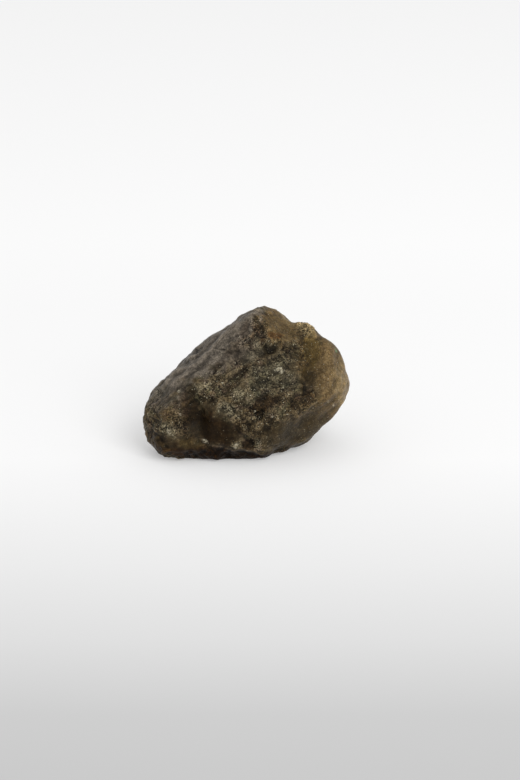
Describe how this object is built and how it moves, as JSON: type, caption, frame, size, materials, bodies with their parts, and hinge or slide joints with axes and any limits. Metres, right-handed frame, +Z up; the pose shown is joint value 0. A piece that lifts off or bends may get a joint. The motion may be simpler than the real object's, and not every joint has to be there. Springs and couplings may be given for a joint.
{
  "type": "raw labradorite",
  "caption": "Rough lump of grey-brown feldspar, small enough to close a hand round, with broken cleavage faces, ledges and pits, resting on a flat face.",
  "frame": {"origin": "on the ground, under the middle of the stone's box", "axes": "+X along the stone's longest extent, to the right for someone facing its broad front; the front looks along -Y; +Z up"},
  "size_m": [0.0452, 0.0306, 0.0313],
  "materials": {
    "labradorite": "satin"
  },
  "bodies": {
    "root": {"labradorite": "labradorite"}
  },
  "joints": []
}
